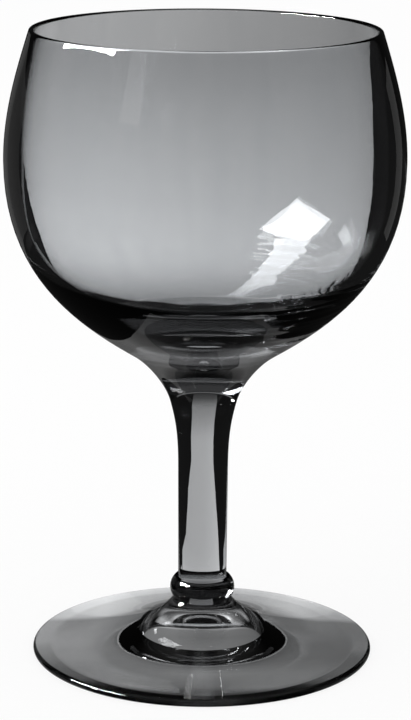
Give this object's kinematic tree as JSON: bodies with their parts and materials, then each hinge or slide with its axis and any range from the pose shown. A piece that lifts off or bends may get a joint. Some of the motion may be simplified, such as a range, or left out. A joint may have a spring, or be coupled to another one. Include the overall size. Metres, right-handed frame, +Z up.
{
  "type": "water goblet",
  "caption": "Smoke-grey blown glass goblet: deep rounded bowl on a plain drawn stem, with a bead collar and a wide round foot.",
  "frame": {"origin": "centre of the foot's standing ring, on the surface that the goblet stands on", "axes": "+Z up along the axis of turning, from the foot to the lip; +X and +Y are any two level directions"},
  "size_m": [0.0936, 0.0936, 0.15],
  "materials": {
    "bowl_glass": "clear smoke-grey glass, fire polished",
    "stem_glass": "clear smoke-grey glass, fire polished",
    "collar_glass": "clear smoke-grey glass, fire polished",
    "foot_glass": "clear smoke-grey glass, fire polished, standing ring ground flat"
  },
  "bodies": {
    "root": {"bowl": "bowl_glass", "stem": "stem_glass", "collar": "collar_glass", "foot": "foot_glass"}
  },
  "joints": []
}
